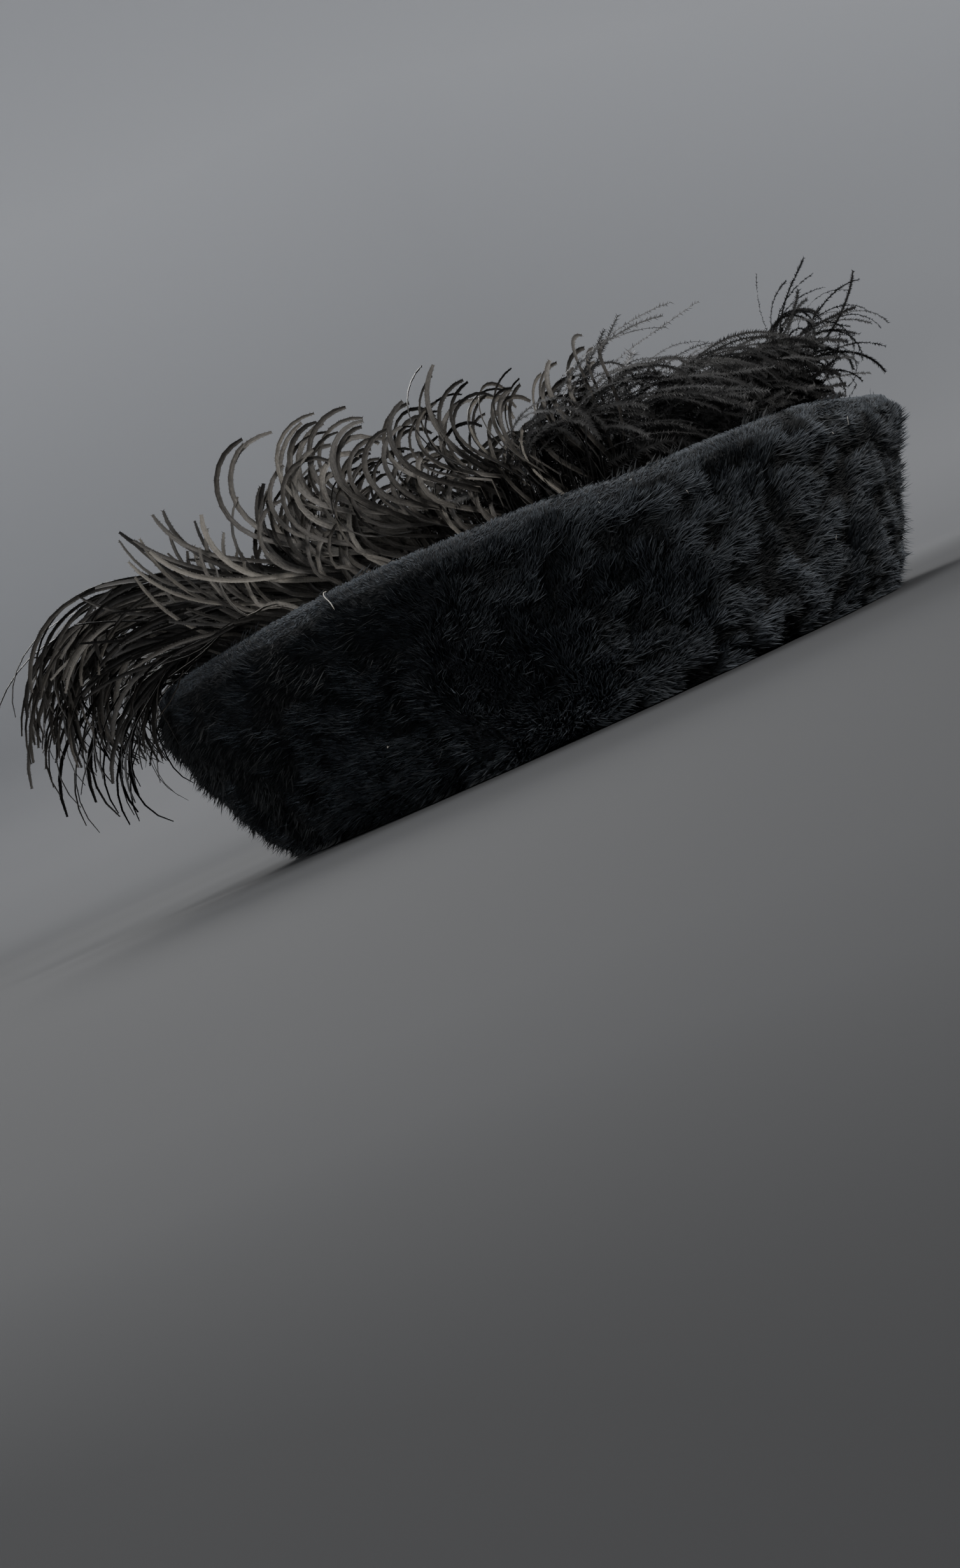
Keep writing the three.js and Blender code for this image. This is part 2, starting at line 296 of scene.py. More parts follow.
# A painted soft shadow on the floor under the camera: its middle, and its tone by the distance from there
SHADOW_PLACE = (-0.02, -0.95, 0.0)
SHADOW_STOPS = [(0.09, 0.55), (0.115, 0.72), (0.15, 0.92), (0.2, 1.0)]


def make_floor():
    profile = [(0.0, 0.0), (FLOOR_RADIUS * 0.5, 0.0), (FLOOR_RADIUS, 0.0)]
    for i in range(1, COVE_STEPS + 1):
        turn = i / COVE_STEPS * math.pi / 2
        profile.append((FLOOR_RADIUS + COVE_RADIUS * math.sin(turn), COVE_RADIUS * (1 - math.cos(turn))))
    profile.append((FLOOR_RADIUS + COVE_RADIUS, WALL_HEIGHT))
    sides = FLOOR_SIDES
    angles = np.arange(sides) * 2 * math.pi / sides
    points = [(0.0, 0.0, 0.0)]
    for reach, height in profile[1:]:
        points += [(reach * math.cos(a), reach * math.sin(a), height) for a in angles]
    faces = [(0, 1 + i, 1 + (i + 1) % sides) for i in range(sides)]
    quads = []
    for ring in range(len(profile) - 2):
        low, high = 1 + ring * sides, 1 + (ring + 1) * sides
        for i in range(sides):
            j = (i + 1) % sides
            quads.append((low + i, high + i, high + j, low + j))
    flat = np.concatenate([np.array(faces).ravel(), np.array(quads).ravel()])
    sizes = np.array([3] * len(faces) + [4] * len(quads))
    floor = make_mesh("floor", np.array(points), flat, sizes)
    shader = Shader("backdrop")
    place = object_place(shader)
    cloud = shader.noise(place, 0.9, 3.0)
    split = shader.node("ShaderNodeSeparateXYZ", {"Vector": place}).outputs
    # Painted light: the backdrop paler with height, with distance behind the hat and towards one corner
    shade = shader.sum(shader.times(split["Z"], HEIGHT_PAINTED_LIGHT), split["Y"], DEPTH_PAINTED_LIGHT)
    shade = shader.sum(shade, cloud, CLOUD_LIFT)
    corner = shader.times(shader.positive(split["X"]), shader.positive(split["Y"]))
    shade = shader.sum(shade, corner, CORNER_PAINTED_LIGHT)
    stops = [(level, (tone * 0.99, tone, tone * 1.03)) for level, tone in BACKDROP_STOPS]
    # Painted shadow: the floor darker round the spot under the camera
    near = shader.node("ShaderNodeVectorMath", {0: place, 1: SHADOW_PLACE}, operation="DISTANCE")
    dim = shader.ramp(near.outputs["Value"], [(reach, (tone,) * 3) for reach, tone in SHADOW_STOPS])
    paint = shader.node("ShaderNodeVectorMath", {0: shader.ramp(shade, stops), 1: dim}, operation="MULTIPLY")
    shader.set("Base Color", paint.outputs["Vector"])
    shader.set("Roughness", 0.9)
    shader.set("Specular IOR Level", 0.1)
    floor.data.materials.append(shader.material)


# A beam narrower than a half circle, so that no light leaves an edge on the wall beside it
LIGHT_SPREAD = math.radians(125)


def add_light(name, place, aim, size, power, color):
    data = bpy.data.lights.new(name, "AREA")
    data.shape = "DISK"
    data.size = size
    data.energy = power
    data.spread = LIGHT_SPREAD
    data.color = color
    light = bpy.data.objects.new(name, data)
    light.location = place
    light.rotation_mode = "QUATERNION"
    light.rotation_quaternion = (Vector(aim) - Vector(place)).to_track_quat("-Z", "Y")
    bpy.context.scene.collection.objects.link(light)


def light_studio():
    middle = tuple(HAT_MIDDLE)
    add_light("key", (0.9, -1.35, 1.35), middle, 0.7, 20.0, (1.0, 0.985, 0.97))
    add_light("fill", (-0.9, -1.5, 0.5), middle, 1.0, 7.0, (0.95, 0.97, 1.0))
    add_light("top", (0.1, 0.3, 1.9), middle, 1.2, 14.0, (1.0, 1.0, 1.0))
    add_light("rim", (-0.6, 1.7, 1.1), middle, 0.9, 12.0, (1.0, 1.0, 1.0))
    add_light("back", (-1.7, 0.5, 0.7), middle, 1.0, 4.0, (0.96, 0.98, 1.0))
    world = bpy.data.worlds.new("studio")
    world.use_nodes = True
    world.node_tree.nodes["Background"].inputs["Color"].default_value = (0.92, 0.95, 1.0, 1.0)
    world.node_tree.nodes["Background"].inputs["Strength"].default_value = 0.75
    bpy.context.scene.world = world


# Nap

# Hairs on each quarter of the brim's outer wall, on the inner wall and on the crown
RIGHT_HAIRS = 66000
LEFT_HAIRS = 48000
INSIDE_HAIRS = 26000
CROWN_HAIRS = 22000
TUFT_SHARE = 0.02
NAP_LENGTH = 8.0 * MM
INSIDE_NAP_LENGTH = 5.5 * MM
CROWN_NAP_LENGTH = 5.0 * MM
NAP_WIDTH = 0.4 * MM
# The strip along the brim's edge, where the nap is short and brushed flat and has a painted sheen
RIM_STRIP = 6.0 * MM
RIM_NAP_LENGTH = 1.8 * MM
FLOOR_GAP = 0.3 * MM
# A painted shadow of a small fold in the edge strip, at the right side towards the front: its place round the
# hat
FOLD_SHADOW_PLACE = 0.87
FOLD_SHADOW_WIDTH = 0.004


class Surface:
    """The triangles of a CAD node, with soft normals, to sow hairs on."""

    def __init__(self, node):
        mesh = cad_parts[node].data
        mesh.calc_loop_triangles()
        points = np.empty(len(mesh.vertices) * 3)
        mesh.vertices.foreach_get("co", points)
        corners = np.empty(len(mesh.loop_triangles) * 3, dtype=np.int64)
        mesh.loop_triangles.foreach_get("vertices", corners)
        points = points.reshape(-1, 3)
        _, first, same = np.unique(np.round(points, 6), axis=0, return_index=True, return_inverse=True)
        self.points = points[first]
        self.triangles = same.ravel()[corners].reshape(-1, 3)
        a, b, c = (self.points[self.triangles[:, k]] for k in range(3))
        self.flat = np.cross(b - a, c - a)
        self.area = np.linalg.norm(self.flat, axis=1) / 2
        self.flat /= np.maximum(self.area[:, None] * 2, 1e-15)
        self.soft = np.zeros_like(self.points)
        for k in range(3):
            np.add.at(self.soft, self.triangles[:, k], self.flat * self.area[:, None])
        self.soft /= np.maximum(np.linalg.norm(self.soft, axis=1)[:, None], 1e-15)

    def sow(self, count, chosen):
        """Random roots on the chosen triangles, evenly by area, with their soft normals."""
        share = np.where(chosen, self.area, 0.0)
        picked = rng.choice(len(share), size=count, p=share / share.sum())
        u, v = rng.random(count), rng.random(count)
        over = u + v > 1
        u[over], v[over] = 1 - u[over], 1 - v[over]
        weights = np.stack([1 - u - v, u, v], axis=1)[:, :, None]
        roots = (self.points[self.triangles[picked]] * weights).sum(axis=1)
        normals = (self.soft[self.triangles[picked]] * weights).sum(axis=1)
        normals = 0.5 * normals + 0.5 * self.flat[picked]
        return roots, unit(normals)


def unit(vectors):
    return vectors / np.maximum(np.linalg.norm(vectors, axis=-1, keepdims=True), 1e-12)


def outward(points):
    """The level direction away from the head opening's middle line."""
    out = points - CENTRE
    out[:, 2] = 0.0
    out[:, 0] /= HEAD_HALF_LENGTH**2
    out[:, 1] /= HEAD_HALF_WIDTH**2
    return unit(out)


def soft_noise(points, size, seed):
    """Smooth noise from about -1 to 1 with features of that size."""
    shift = Vector((seed * 17.3, seed * 5.9, seed * 11.1))
    return np.array([noise.noise(Vector(p / size) + shift) for p in points]) * 1.6


def smooth_step(values, low, high):
    t = np.clip((values - low) / (high - low), 0, 1)
    return t * t * (3 - 2 * t)


def make_tufts(roots):
    """Tuft centres, taken from the roots by chance, and the number of each root's nearest centre."""
    count = int(len(roots) * TUFT_SHARE)
    centres = roots[rng.choice(len(roots), size=count, replace=False)]
    tree = KDTree(count)
    for i, centre in enumerate(centres):
        tree.insert(centre, i)
    tree.balance()
    return centres, np.array([tree.find(root)[1] for root in roots])


def grow_nap(roots, normals, lean, length, tone, width, foot_lift, tip_lift):
    """Hairs as thin tapered blades of two triangles. lean is each hair's direction along the surface, and
    the lifts are how far its foot and its tip stand up from it."""
    count = len(roots)
    lean = unit(lean - normals * (lean * normals).sum(axis=1, keepdims=True))
    first = unit(lean + normals * foot_lift[:, None])
    second = unit(lean + normals * tip_lift[:, None])
    middle = roots + first * (length * 0.5)[:, None]
    tip = middle + second * (length * 0.5)[:, None]
    spin = rng.normal(0.0, 0.7, count)[:, None]
    side = np.cross(first, normals)
    side = unit(unit(side) * np.cos(spin) + normals * np.sin(spin)) * (width / 2)[:, None]
    points = np.stack([roots - side, roots + side, middle + side, tip], axis=1)
    faces = np.array([[0, 1, 2], [0, 2, 3]]) + np.arange(count)[:, None, None] * 4
    # Painted shade: each hair darker towards its foot, down among the others
    shade = tone[:, None] * np.array([0.25, 0.25, 0.8, 1.0])
    return points, faces.reshape(-1, 3), {"tone": shade.ravel()}


def above_floor(points):
    """The same points, with those that would go into the floor laid just above it."""
    points = points.reshape(-1, 3)
    low = points[:, 2] < FLOOR_GAP
    points[low, 2] = FLOOR_GAP + rng.random(low.sum()) * FLOOR_GAP
    return points


# The lie of the nap on the outer wall: how many degrees it points above level towards the front, from the
# back of the hat to its front
LIE_PLACES = (-1.0, -0.45, 0.1, 0.55, 1.0)
LIE_ANGLES = (205.0, 150.0, 55.0, 38.0, 20.0)
LIE_REACH = 60 * MM
# Sizes of the nap's broad whorls and of its light and dark patches
WHORL = 34 * MM
PATCH = 11 * MM


def outer_lean(roots, normals, centres, owner):
    out = outward(roots)
    front_way = unit(np.stack([-out[:, 1], out[:, 0], np.zeros(len(out))], axis=1))
    front_way *= np.where(roots[:, 1] > CENTRE[1], -1.0, 1.0)[:, None]
    up_way = unit(np.cross(normals, np.cross(np.array([0.0, 0.0, 1.0]), normals)))
    place = (roots[:, 0] - CENTRE[0]) / (HEAD_HALF_LENGTH + LIE_REACH)
    lie = np.interp(place, LIE_PLACES, LIE_ANGLES)
    swirl = soft_noise(roots, WHORL, 1) * 58 + soft_noise(roots, PATCH, 2) * 40
    swirl += (soft_noise(centres, 6 * MM, 9) * 24)[owner]
    lie = np.radians(lie + swirl + rng.normal(0.0, 20.0, len(roots)))
    return front_way * np.cos(lie)[:, None] + up_way * np.sin(lie)[:, None]


def place_round(points):
    """Each point's place round the head opening, from 0 to 1."""
    across = points[..., 1] / HEAD_HALF_WIDTH
    along = (points[..., 0] - CENTRE[0]) / HEAD_HALF_LENGTH
    return np.arctan2(across, along) / (2 * math.pi) % 1.0


RIM_PLACES = 56


def rim_heights(surface):
    """The height of the brim's edge at even places round the hat."""
    bins = np.round(place_round(surface.points) * RIM_PLACES).astype(int) % RIM_PLACES
    top = np.zeros(RIM_PLACES)
    np.maximum.at(top, bins, surface.points[:, 2])
    return top


brim_surface = Surface("brim")
RIM_TOP = rim_heights(brim_surface)


def rim_height(points):
    """The height of the brim's edge at each point's place round the hat."""
    places = np.arange(RIM_PLACES + 1) / RIM_PLACES
    return np.interp(place_round(points), places, np.append(RIM_TOP, RIM_TOP[0]))


def outer_nap(surface, chosen, count):
    roots, normals = surface.sow(count, chosen)
    centres, owner = make_tufts(roots)
    lean = outer_lean(roots, normals, centres, owner)
    hollow = soft_noise(roots, PATCH, 3) + 0.6 * soft_noise(centres, 5 * MM, 4)[owner]
    hollow = smooth_step(hollow, -0.6, 0.5)
    drift = np.clip(0.5 + 0.5 * soft_noise(centres, WHORL, 5), 0.0, 1.0)[owner]
    front = smooth_step(roots[:, 0] - CENTRE[0], -90 * MM, 100 * MM)
    back = smooth_step(CENTRE[0] - roots[:, 0], 0.0, 110 * MM)
    # Painted shade in the hollows between tufts and towards the back, painted light towards the front,
    # besides broad random patches
    tone = 0.18 + (0.26 + 0.26 * drift + 0.26 * front) * hollow + 0.09 * front - 0.24 * back
    tone = tone + rng.normal(0.0, 0.06, count)
    wild = rng.random(count) < 0.14
    length = NAP_LENGTH * (0.5 + 0.5 * hollow) * rng.uniform(0.75, 1.15, count) * np.where(wild, 1.2, 1.0)
    foot_lift = np.where(wild, 1.7, 1.0)
    tip_lift = np.where(wild, 1.5, 0.5) * rng.uniform(0.6, 1.2, count)
    width = NAP_WIDTH * rng.uniform(0.7, 1.2, count)
    below = rim_height(roots) - roots[:, 2]
    strip = 1 - smooth_step(below, RIM_STRIP * 0.9, RIM_STRIP * 1.2)
    length *= 0.45 + 0.55 * smooth_step(below, RIM_STRIP, RIM_STRIP + NAP_LENGTH)
    length = length * (1 - strip) + RIM_NAP_LENGTH * rng.uniform(0.8, 1.2, count) * strip
    foot_lift = foot_lift * (1 - strip) + 0.5 * strip
    tip_lift = tip_lift * (1 - strip) + 0.15 * strip
    # Painted sheen: the edge strip's short nap made pale, as where it catches the light
    tone = tone * (1 - strip) + (0.93 + rng.normal(0.0, 0.04, count)) * strip
    # Painted shadow of a small fold: the edge strip darkened there
    fold_shadow = np.exp(-(((place_round(roots) - FOLD_SHADOW_PLACE) / FOLD_SHADOW_WIDTH) ** 2)) * (below < RIM_STRIP * 2)
    tone *= 1 - 0.85 * fold_shadow
    tone = np.clip(tone, 0.02, 1.0)
    points, faces, layers = grow_nap(roots, normals, lean, length, tone, width, foot_lift, tip_lift)
    # Each tuft's hairs draw together towards its middle at the tip
    pull = centres[owner] - roots
    pull -= normals * (pull * normals).sum(axis=1, keepdims=True)
    gather = 0.3 * (1 - strip)[:, None] * np.where(wild, 0.3, 1.0)[:, None]
    points[:, 3] += pull * gather
    points[:, 2] += pull * gather * 0.35
    return above_floor(points), faces, layers


def short_nap(surface, chosen, count, length, shade):
    roots, normals = surface.sow(count, chosen)
    centres, owner = make_tufts(roots)
    out = outward(roots)
    round_way = np.stack([-out[:, 1], out[:, 0], np.zeros(len(out))], axis=1)
    turn = (soft_noise(centres, 30 * MM, 7) * 1.2)[owner] + rng.normal(0.0, 0.3, count)
    across = unit(np.cross(normals, round_way))
    lean = round_way * np.cos(turn)[:, None] + across * np.sin(turn)[:, None]
    patch = smooth_step(soft_noise(centres, 14 * MM, 8), -0.6, 0.6)[owner]
    tone = np.clip(shade * (0.55 + 0.6 * patch) + rng.normal(0.0, 0.07, count), 0.02, 1.0)
    lengths = length * rng.uniform(0.7, 1.2, count)
    width = NAP_WIDTH * rng.uniform(0.8, 1.3, count)
    lifts = np.full(count, 0.8), np.full(count, 0.35)
    points, faces, layers = grow_nap(roots, normals, lean, lengths, tone, width, *lifts)
    return above_floor(points), faces, layers


def dress_felt():
    nap = nap_material("nap")
    brim = brim_surface
    middle = brim.points[brim.triangles].mean(axis=1)
    facing = (brim.flat * outward(middle)).sum(axis=1)
    underneath = (brim.flat[:, 2] < -0.95) & (middle[:, 2] < 1 * MM)
    inside = (facing < -0.3) & ~underneath
    outer = ~underneath & ~inside & ~((facing < 0.3) & (middle[:, 2] < 20 * MM) & (brim.flat[:, 2] > 0))
    right, front = middle[:, 1] < CENTRE[1], middle[:, 0] > CENTRE[0]
    quarters = {
        "nap_front_right": right & front,
        "nap_back_right": right & ~front,
        "nap_front_left": ~right & front,
        "nap_back_left": ~right & ~front,
    }
    for name, quarter in quarters.items():
        chosen = outer & quarter
        count = RIGHT_HAIRS if name.endswith("right") else LEFT_HAIRS
        piece = make_nap_piece(name, outer_nap(brim, chosen, count), nap)
    rest = ~underneath & ~outer
    piece = make_nap_piece("nap_inside", short_nap(brim, rest, INSIDE_HAIRS, INSIDE_NAP_LENGTH, 0.42), nap)
    crown = Surface("crown")
    crown_middle = crown.points[crown.triangles].mean(axis=1)
    outside = (crown.flat * unit(crown_middle - CENTRE - np.array([0, 0, 20 * MM]))).sum(axis=1) > 0.2
    piece = make_nap_piece("nap_crown", short_nap(crown, outside, CROWN_HAIRS, CROWN_NAP_LENGTH, 0.38), nap)
    dark = felt_material("brim_wall", (0.003, 0.0032, 0.0036), (0.012, 0.013, 0.015), 0.25 * MM)
    give_material("brim", dark)
    inner = felt_material("crown_wall", (0.004, 0.004, 0.0045), (0.014, 0.0145, 0.016), 0.2 * MM)
    give_material("crown", inner)


def make_nap_piece(name, parts, material):
    points, faces, layers = parts
    piece = make_mesh(name, points, faces, **layers)
    piece.data.materials.append(material)
    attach(piece, "root")
    return piece


def give_material(node, material):
    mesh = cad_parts[node].data
    mesh.materials.clear()
    mesh.materials.append(material)


# Plumes

# Middle line of the collar that the barbs rise along, from the quills up: reach from the head opening
# and height
COLLAR_REACH = np.array([4.2, 4.8, 9.0, 17.0, 26.0, 34.0]) * MM
COLLAR_HEIGHT = np.array([40.0, 50.0, 64.0, 78.0, 91.0, 101.0]) * MM
QUILL_SHARE = 0.16

# Columns: place round the crown in degrees (0 front, 90 right side, 180 back, 270 left side), rise above
# level at the foot and at the tip, how late the rise changes, sweep from straight out towards the back of
# the right side at the foot and at the tip, length in mm, the roll that turns the flat side outward, and
# how far the tip curls on
COLUMNS = ("round", "rise", "rise_end", "bend", "sweep", "sweep_end", "length", "turn", "curl")


def ellipse_place(round_degrees):
    """The head opening's point at a place round the crown, and the directions out, and on round it."""
    angle = -np.radians(round_degrees)
    zero = np.zeros_like(angle)
    point = np.stack([HEAD_HALF_LENGTH * np.cos(angle), HEAD_HALF_WIDTH * np.sin(angle), zero], axis=-1)
    out = unit(np.stack([np.cos(angle) / HEAD_HALF_LENGTH, np.sin(angle) / HEAD_HALF_WIDTH, zero], axis=-1))
    onward = np.stack([out[..., 1], -out[..., 0], zero], axis=-1)
    return point + CENTRE, out, onward


def table_values(rows, rounds):
    table = np.array(rows, dtype=float)
    return {name: np.interp(rounds, table[:, 0], table[:, k]) for k, name in enumerate(COLUMNS)}


# Barbs rise freely up to this height, and by less than that reach above it
CURL_OVER = 146 * MM
CURL_OVER_REACH = 9 * MM
BARB_FLOOR_GAP = 3 * MM
BARB_EDGE_GAP = 7 * MM
# How far out from the head opening the brim's edge lies, along and across the hat
EDGE_OUT_ALONG = 57 * MM
EDGE_OUT_ACROSS = 50 * MM
# The share of a barb's free length where its tip begins to curl
CURL_FROM = 0.35
COLLAR_STEPS = 3
# Where the free part of a barb bends, closer together towards its tip
FREE_PLACES = np.linspace(0, 1, 15) ** 0.8
# A barb's width along its length
BARB_PLACES = (0.0, 0.2, 0.84, 0.95, 1.0)
BARB_WIDTHS = (0.6, 1.0, 0.94, 0.84, 0.55)


def grow_barbs(values, root_share, wave, spread):
    """Each barb's middle line: up the collar from the quills to its root share, then free, its direction
    bending from rise to rise_end and sweep to sweep_end, with its curl added towards the tip."""
    count = len(values["round"])
    point, out, onward = ellipse_place(values["round"])
    shares = QUILL_SHARE + (root_share - QUILL_SHARE)[:, None] * np.linspace(0, 1, COLLAR_STEPS + 1)
    places = shares * (len(COLLAR_REACH) - 1)
    knots = np.arange(len(COLLAR_REACH))
    depth = rng.uniform(-0.5, 1.0, count)[:, None] * spread
    reach = np.interp(places, knots, COLLAR_REACH) + depth * shares
    height = np.interp(places, knots, COLLAR_HEIGHT)
    up = np.array([0.0, 0.0, 1.0])
    line = point[:, None] + out[:, None] * reach[..., None] + up * height[..., None]
    steps = []
    for low, high in zip(FREE_PLACES[:-1], FREE_PLACES[1:]):
        t = (low + high) / 2
        step = values["length"] * MM * (high - low)
        late = (max(t - CURL_FROM, 0.0) / (1 - CURL_FROM)) ** 1.25
        rise = values["rise"] + (values["rise_end"] - values["rise"]) * t ** values["bend"]
        rise = rise + values["curl"] * late + wave * np.sin(5.0 * t + values["phase"]) * t
        sweep = values["sweep"] + (values["sweep_end"] - values["sweep"]) * t
        sweep = sweep + wave * np.sin(4.0 * t + values["phase"] * 1.7) * t
        rise, sweep = np.radians(rise), np.radians(sweep)
        heading = out * (np.cos(sweep) * np.cos(rise))[:, None]
        heading = heading + onward * (np.sin(sweep) * np.cos(rise))[:, None] + up * np.sin(rise)[:, None]
        steps.append(heading * step[:, None])
    free = line[:, -1:] + np.cumsum(np.stack(steps, axis=1), axis=1)
    return np.concatenate([line, free], axis=1)


def clear_of_hat(lines):
    """Keeps barbs above the floor and the brim's edge, and lays over those that would stand too tall."""
    lines[..., 2] = np.maximum(lines[..., 2], BARB_FLOOR_GAP)
    tall = np.maximum(lines[..., 2] - CURL_OVER, 0.0)
    lines[..., 2] += CURL_OVER_REACH * np.tanh(tall / CURL_OVER_REACH) - tall
    point = lines - CENTRE
    along = point[..., 0] / (HEAD_HALF_LENGTH + EDGE_OUT_ALONG)
    ring = np.hypot(along, point[..., 1] / (HEAD_HALF_WIDTH + EDGE_OUT_ACROSS))
    over_edge = np.exp(-(((ring - 1.0) / 0.075) ** 2))
    rim = rim_height(lines)
    sunk = np.maximum(rim + BARB_EDGE_GAP - lines[..., 2], 0.0) * over_edge * (lines[..., 2] > rim - 20 * MM)
    lines[..., 2] += sunk
    return lines


def ribbon_frames(lines, turn):
    """Directions along, across and out of each ribbon at each station."""
    along = unit(np.gradient(lines, axis=1))
    across = unit(np.cross(np.array([0.0, 0.0, 1.0]), along[:, 0]))
    facing = np.cross(along[:, 0], across)
    roll = np.radians(turn)[:, None]
    across = across * np.cos(roll) + facing * np.sin(roll)
    sides = []
    for k in range(lines.shape[1]):
        across = unit(across - along[:, k] * (across * along[:, k]).sum(axis=1, keepdims=True))
        sides.append(across)
    sides = np.stack(sides, axis=1)
    return along, sides, np.cross(along, sides)


def barb_ribbons(lines, frames, width, tone, flat=False):
    """Strips that narrow to a blunt tip, slightly hollow across or for the finest barbs flat."""
    _, sides, faces_out = frames
    count, stations = lines.shape[:2]
    t = np.linspace(0, 1, stations)
    profile = np.interp(t, BARB_PLACES, BARB_WIDTHS)
    half = (width[:, None] / 2 * profile)[..., None]
    across = np.array([-1.0, 1.0] if flat else [-1.0, 0.0, 1.0])
    crown = faces_out * half * 0.5
    points = [lines + sides * half * place + crown * (1 - abs(place)) for place in across]
    points = np.stack(points, axis=2)
    wide = len(across)
    row = np.arange(stations - 1)[:, None] * wide
    quads = np.array([[k, k + 1, k + 1 + wide, k + wide] for k in range(wide - 1)])
    faces = (row[:, None, :] + quads).reshape(-1, 4)
    faces = (np.arange(count)[:, None, None] * stations * wide + faces).reshape(-1, 4)
    shade = np.broadcast_to(tone[:, None, None], (count, stations, wide))
    length = np.linalg.norm(np.diff(lines, axis=1), axis=2).cumsum(axis=1) / MM
    length = np.concatenate([np.zeros((count, 1)), length], axis=1)
    strand = np.zeros((count, stations, wide, 3))
    strand[..., 0] = across + np.arange(count)[:, None, None] * 7.0
    strand[..., 1] = length[..., None]
    layers = {"tone": shade.reshape(-1), "strand": strand.reshape(-1, 3)}
    triangles = np.concatenate([faces[:, [0, 1, 2]], faces[:, [0, 2, 3]]])
    return points.reshape(-1, 3), triangles, layers


def barbules(lines, frames, width, tone, pitch, length, foot, start=0.22):
    """Short side hairs along both edges of each barb, from the share start of its length on."""
    along, sides, faces_out = frames
    count, stations = lines.shape[:2]
    total = np.linalg.norm(np.diff(lines, axis=1), axis=2).sum(axis=1).mean()
    places = max(int(total * (1 - start) / pitch), 4)
    t = start + (1 - start) * (np.arange(places) + rng.random((count, 2, places))) / places
    station = t * (stations - 1)
    low = np.minimum(station.astype(int), stations - 2)
    part = (station - low)[..., None]
    which = np.arange(count)[:, None, None]

    def at(values):
        return values[which, low] * (1 - part) + values[which, low + 1] * part

    side = at(sides) * np.array([-1.0, 1.0])[:, None, None]
    way = at(along)
    lean = rng.uniform(0.35, 1.0, t.shape)[..., None]
    lift = rng.normal(0.0, 0.35, t.shape)[..., None]
    profile = np.interp(t, BARB_PLACES, BARB_WIDTHS)
    root = at(lines) + side * (width[:, None, None] / 2 * profile)[..., None] * 0.85
    heading = unit(side + way * lean + at(faces_out) * lift)
    reach = length * rng.uniform(0.6, 1.3, t.shape)[..., None]
    tip = root + heading * reach
    foot = way * foot
    points = np.stack([root - foot, root + foot, tip], axis=-2).reshape(-1, 3)
    faces = np.arange(len(points)).reshape(-1, 3)
    shade = np.broadcast_to(tone[:, None, None, None], (*t.shape, 3)) * 0.9
    strand = np.zeros((len(points), 3))
    strand[:, 1] = np.repeat(np.arange(len(faces)), 3) * 0.37
    return points, faces, {"tone": shade.reshape(-1), "strand": strand}


TUBE_SIDES = 7


def tube(line, radius, tone):
    """A round cord along a line of points. radius holds one value for each of them."""
    _, sides, faces_out = (part[0] for part in ribbon_frames(line[None], np.zeros(1)))
    turns = np.arange(TUBE_SIDES) * 2 * math.pi / TUBE_SIDES
    ring = sides[:, None] * np.cos(turns)[:, None] + faces_out[:, None] * np.sin(turns)[:, None]
    points = (line[:, None] + ring * radius[:, None, None]).reshape(-1, 3)
    count = len(line)
    i, j = np.meshgrid(np.arange(count - 1), np.arange(TUBE_SIDES), indexing="ij")
    a, b = i * TUBE_SIDES + j, i * TUBE_SIDES + (j + 1) % TUBE_SIDES
    c, d = b + TUBE_SIDES, a + TUBE_SIDES
    walls = [np.stack(corners, -1).reshape(-1, 3) for corners in ((a, b, c), (a, c, d))]
    first = [[0, k + 1, k] for k in range(1, TUBE_SIDES - 1)]
    last = [[0, k, k + 1] for k in range(1, TUBE_SIDES - 1)]
    ends = [np.array(first), np.array(last) + (count - 1) * TUBE_SIDES]
    strand = np.zeros((len(points), 3))
    strand[:, 0] = np.tile(np.arange(TUBE_SIDES), count)
    strand[:, 1] = np.repeat(np.arange(count) * 5.0, TUBE_SIDES)
    return points, np.concatenate(walls + ends), {"tone": np.full(len(points), tone), "strand": strand}


# Reach from the head opening, height and thickness of the plume's stems in mm
QUILLS = [(4.6, 44.0, 1.9), (6.0, 49.0, 1.5), (8.2, 54.0, 1.2)]


def quills(first, last, tone):
    """The stems of the plume, wound round the crown just above the brim's channel."""
    parts = []
    rounds = np.linspace(first, last, 40)
    point, out, _ = ellipse_place(rounds)
    fade = np.interp(np.arange(40), [0, 3, 36, 39], [0.3, 1, 1, 0.3])
    for reach, height, thick in QUILLS:
        wave = np.sin(np.radians(rounds * 7 + reach * 50))
        middle = point + out * ((reach + 0.4 * wave) * MM)[:, None]
        middle[:, 2] = (height + 1.2 * wave) * MM
        parts.append(tube(middle, thick * MM * fade, tone))
    return parts


